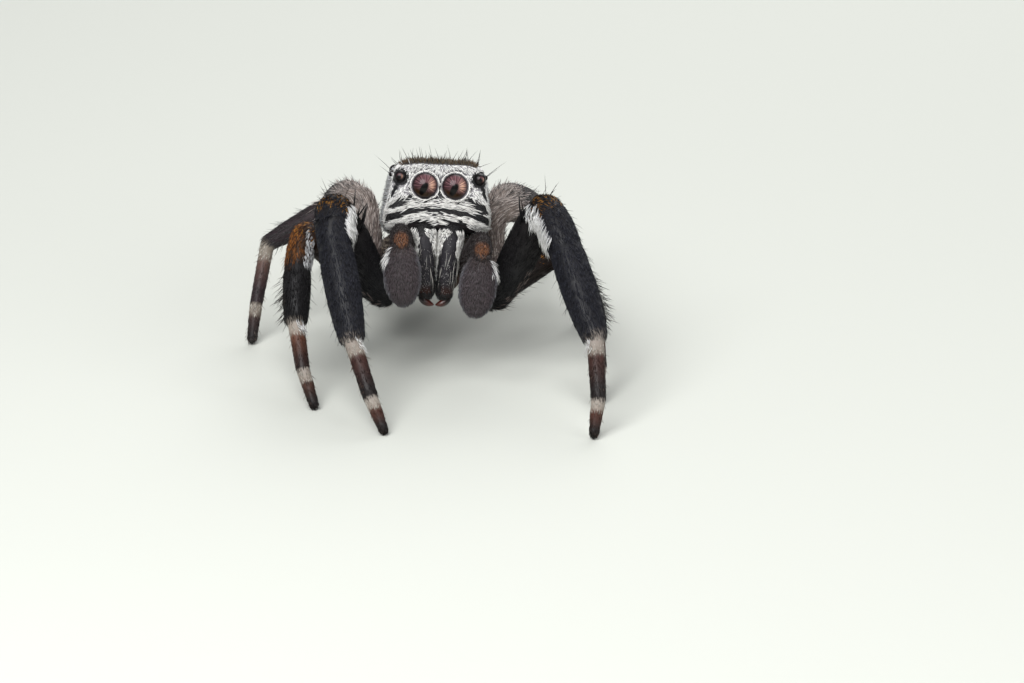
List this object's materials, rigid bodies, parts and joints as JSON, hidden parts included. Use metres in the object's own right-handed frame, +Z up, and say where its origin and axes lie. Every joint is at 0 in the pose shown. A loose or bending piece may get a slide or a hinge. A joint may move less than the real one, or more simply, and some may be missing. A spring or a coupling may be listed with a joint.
{
  "type": "jumping spider",
  "caption": "still life-size male jumping spider standing with raised knees, white and black striped face, two large front eyes, black front legs",
  "frame": {"origin": "on the floor, under the middle of the whole animal's bounding box", "axes": "+Z up, the head faces -Y and the tail end +Y, the animal's left side is +X"},
  "size_m": [0.0068, 0.0092, 0.0039],
  "materials": {
    "carapace": "white and black scaled skin, matt",
    "abdomen": "brown scaled skin, matt",
    "underside": "thin haired skin, matt",
    "eye_lens": "polished clear lens over a mauve and brown ground",
    "chelicera": "finely wrinkled dark shell with pale hairs",
    "fang": "polished red-brown horn",
    "palp": "dark grey-brown shell under soft hair",
    "front_leg": "black shell with a blue sheen under fine black hair",
    "rear_leg": "grey-brown shell under pale hair"
  },
  "bodies": {
    "root": {"eye_anterior_median_left": "eye_lens", "eye_anterior_lateral_left": "eye_lens", "eye_posterior_median_left": "eye_lens", "eye_posterior_lateral_left": "eye_lens", "eye_anterior_median_right": "eye_lens", "eye_anterior_lateral_right": "eye_lens", "eye_posterior_median_right": "eye_lens", "eye_posterior_lateral_right": "eye_lens", "carapace": "carapace", "sternum": "underside", "abdomen": "abdomen", "chelicera_left": "chelicera", "maxilla_left": "underside", "fang_left": "fang", "chelicera_right": "chelicera", "maxilla_right": "underside", "fang_right": "fang", "palp_cymbium_left": "palp", "palp_femur_left": "palp", "palp_tibia_left": "palp", "palp_cymbium_right": "palp", "palp_femur_right": "palp", "palp_tibia_right": "palp", "leg1_left_coxa": "front_leg", "leg1_left_femur": "front_leg", "leg1_left_tibia": "front_leg", "leg1_left_tarsus": "front_leg", "leg1_right_coxa": "front_leg", "leg1_right_femur": "front_leg", "leg1_right_tibia": "front_leg", "leg1_right_tarsus": "front_leg", "leg2_left_coxa": "front_leg", "leg2_left_femur": "front_leg", "leg2_left_tibia": "front_leg", "leg2_left_tarsus": "front_leg", "leg2_right_coxa": "front_leg", "leg2_right_femur": "front_leg", "leg2_right_tibia": "front_leg", "leg2_right_tarsus": "front_leg", "leg3_left_coxa": "rear_leg", "leg3_left_femur": "rear_leg", "leg3_left_tibia": "rear_leg", "leg3_left_tarsus": "rear_leg", "leg3_right_coxa": "rear_leg", "leg3_right_femur": "rear_leg", "leg3_right_tibia": "rear_leg", "leg3_right_tarsus": "rear_leg", "leg4_left_coxa": "rear_leg", "leg4_left_femur": "rear_leg", "leg4_left_tibia": "rear_leg", "leg4_left_tarsus": "rear_leg", "leg4_right_coxa": "rear_leg", "leg4_right_femur": "rear_leg", "leg4_right_tibia": "rear_leg", "leg4_right_tarsus": "rear_leg", "pedicel": "underside", "spinnerets": "underside"}
  },
  "joints": []
}
